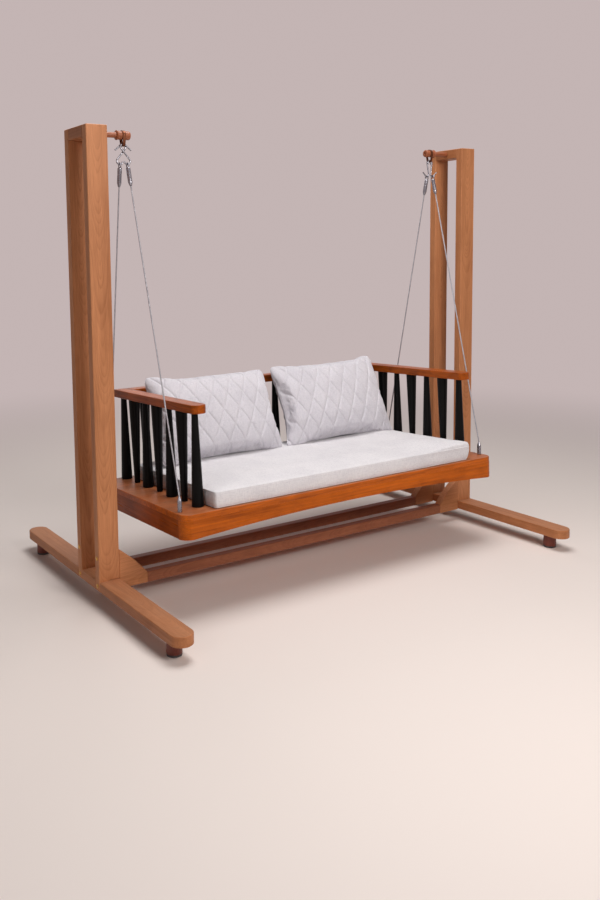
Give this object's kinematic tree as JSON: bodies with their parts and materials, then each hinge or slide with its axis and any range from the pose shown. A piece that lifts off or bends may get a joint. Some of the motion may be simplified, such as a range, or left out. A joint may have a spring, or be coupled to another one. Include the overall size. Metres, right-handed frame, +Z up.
{
  "type": "cradle swing",
  "caption": "Free-standing wooden cradle swing: a cushioned spindle-sided seat hung by wire ropes and hooks from pegs on two post frames",
  "frame": {"origin": "on the floor, in the middle between the two post frames", "axes": "X along the seat, from the left frame to the right one, the seat's front faces -Y, Z up"},
  "size_m": [2.09, 1.448, 1.88],
  "materials": {
    "stand_wood": "satin brown stain",
    "seat_wood": "glossy orange-brown polish",
    "black_lacquer": "black lacquer",
    "steel": "polished",
    "bronze": "dark bronze",
    "heather_fabric": "pale heather weave"
  },
  "bodies": {
    "stand": {"left_foot": "stand_wood", "right_foot": "stand_wood", "left_front_post": "stand_wood", "left_rear_post": "stand_wood", "right_front_post": "stand_wood", "right_rear_post": "stand_wood", "left_top_block": "stand_wood", "right_top_block": "stand_wood", "left_hanger_peg": "stand_wood", "right_hanger_peg": "stand_wood", "front_stretcher": "stand_wood", "rear_stretcher": "stand_wood", "left_front_bracket": "stand_wood", "left_rear_bracket": "stand_wood", "right_front_bracket": "stand_wood", "right_rear_bracket": "stand_wood", "left_front_floor_pad": "stand_wood", "left_rear_floor_pad": "stand_wood", "right_front_floor_pad": "stand_wood", "right_rear_floor_pad": "stand_wood"},
    "swing": {"left_hanger_strap": "bronze", "right_hanger_strap": "bronze", "left_front_s_hook": "steel", "left_rear_s_hook": "steel", "right_front_s_hook": "steel", "right_rear_s_hook": "steel", "left_front_rope": "steel", "left_rear_rope": "steel", "right_front_rope": "steel", "right_rear_rope": "steel", "left_front_rope_anchor": "steel", "left_rear_rope_anchor": "steel", "right_front_rope_anchor": "steel", "right_rear_rope_anchor": "steel", "seat_board": "seat_wood", "seat_front_rail": "seat_wood", "seat_rear_rail": "seat_wood", "seat_left_rail": "seat_wood", "seat_right_rail": "seat_wood", "seat_batten": "seat_wood", "left_armrest": "seat_wood", "right_armrest": "seat_wood", "back_rail": "seat_wood", "left_spindle_1": "black_lacquer", "left_spindle_2": "black_lacquer", "left_spindle_3": "black_lacquer", "left_spindle_4": "black_lacquer", "left_spindle_5": "black_lacquer", "left_spindle_6": "black_lacquer", "left_spindle_7": "black_lacquer", "right_spindle_1": "black_lacquer", "right_spindle_2": "black_lacquer", "right_spindle_3": "black_lacquer", "right_spindle_4": "black_lacquer", "right_spindle_5": "black_lacquer", "right_spindle_6": "black_lacquer", "right_spindle_7": "black_lacquer", "seat_cushion": "heather_fabric", "left_back_pillow": "heather_fabric", "right_back_pillow": "heather_fabric"}
  },
  "joints": [
    {"name": "swing_to_and_fro", "type": "hinge", "parent": "stand", "child": "swing", "pos_m": [0, 0, 1.858], "axis": [1, 0, 0], "range_deg": [-25, 25]}
  ]
}
